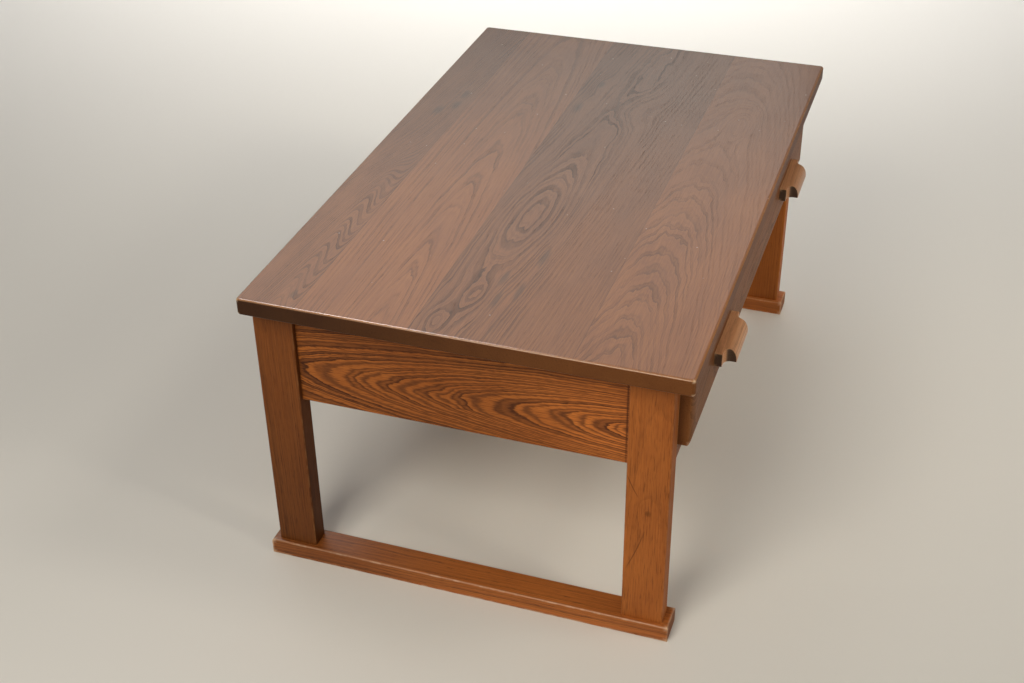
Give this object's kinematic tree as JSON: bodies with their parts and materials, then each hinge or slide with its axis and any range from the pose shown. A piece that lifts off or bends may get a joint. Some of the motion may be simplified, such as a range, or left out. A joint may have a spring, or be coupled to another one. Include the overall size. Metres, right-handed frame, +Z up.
{
  "type": "low writing desk",
  "caption": "Low wooden writing desk with a plank top, flat legs on sled feet, set-back aprons and a wide drawer between the front legs with carved wooden pulls.",
  "frame": {"origin": "on the floor, under the middle of the overall box (feet's rear ends to the pulls)", "axes": "+X along the desk, -Y towards the sitter and the drawer front, +Z up from the floor"},
  "size_m": [0.72, 0.4654, 0.34],
  "materials": {
    "top_wood": "stained open-pored wood with a worn satin finish",
    "frame_wood": "stained open-pored wood, satin",
    "drawer_front_wood": "stained open-pored wood, satin",
    "pull_wood": "lighter close-grained wood, handled smooth",
    "inner_wood": "plain unstained softwood",
    "peg_wood": "plain wood",
    "screw_steel": "dull steel"
  },
  "bodies": {
    "desk_frame": {"drawer_runner_left": "inner_wood", "drawer_runner_right": "inner_wood", "end_apron_left": "frame_wood", "end_apron_right": "frame_wood", "foot_left": "frame_wood", "foot_right": "frame_wood", "front_rail": "frame_wood", "kicker_left": "inner_wood", "kicker_right": "inner_wood", "leg_front_left": "frame_wood", "leg_front_right": "frame_wood", "leg_rear_left": "frame_wood", "leg_rear_right": "frame_wood", "rear_apron": "frame_wood", "rear_batten": "inner_wood", "runner_screws": "screw_steel", "stop_block_left": "inner_wood", "stop_block_right": "inner_wood", "top_plank_front": "top_wood", "top_plank_mid_front": "top_wood", "top_plank_mid_rear": "top_wood", "top_plank_rear": "top_wood", "top_screws": "screw_steel"},
    "drawer": {"bottom_nails": "screw_steel", "drawer_back": "inner_wood", "drawer_bottom": "inner_wood", "drawer_front": "drawer_front_wood", "drawer_pegs": "peg_wood", "drawer_side_left": "inner_wood", "drawer_side_right": "inner_wood", "pull_left": "pull_wood", "pull_right": "pull_wood", "pull_screws": "screw_steel"}
  },
  "joints": [
    {"name": "drawer_slide", "type": "slide", "parent": "desk_frame", "child": "drawer", "axis": [0, -1, 0], "range_m": [0, 0.25]}
  ]
}
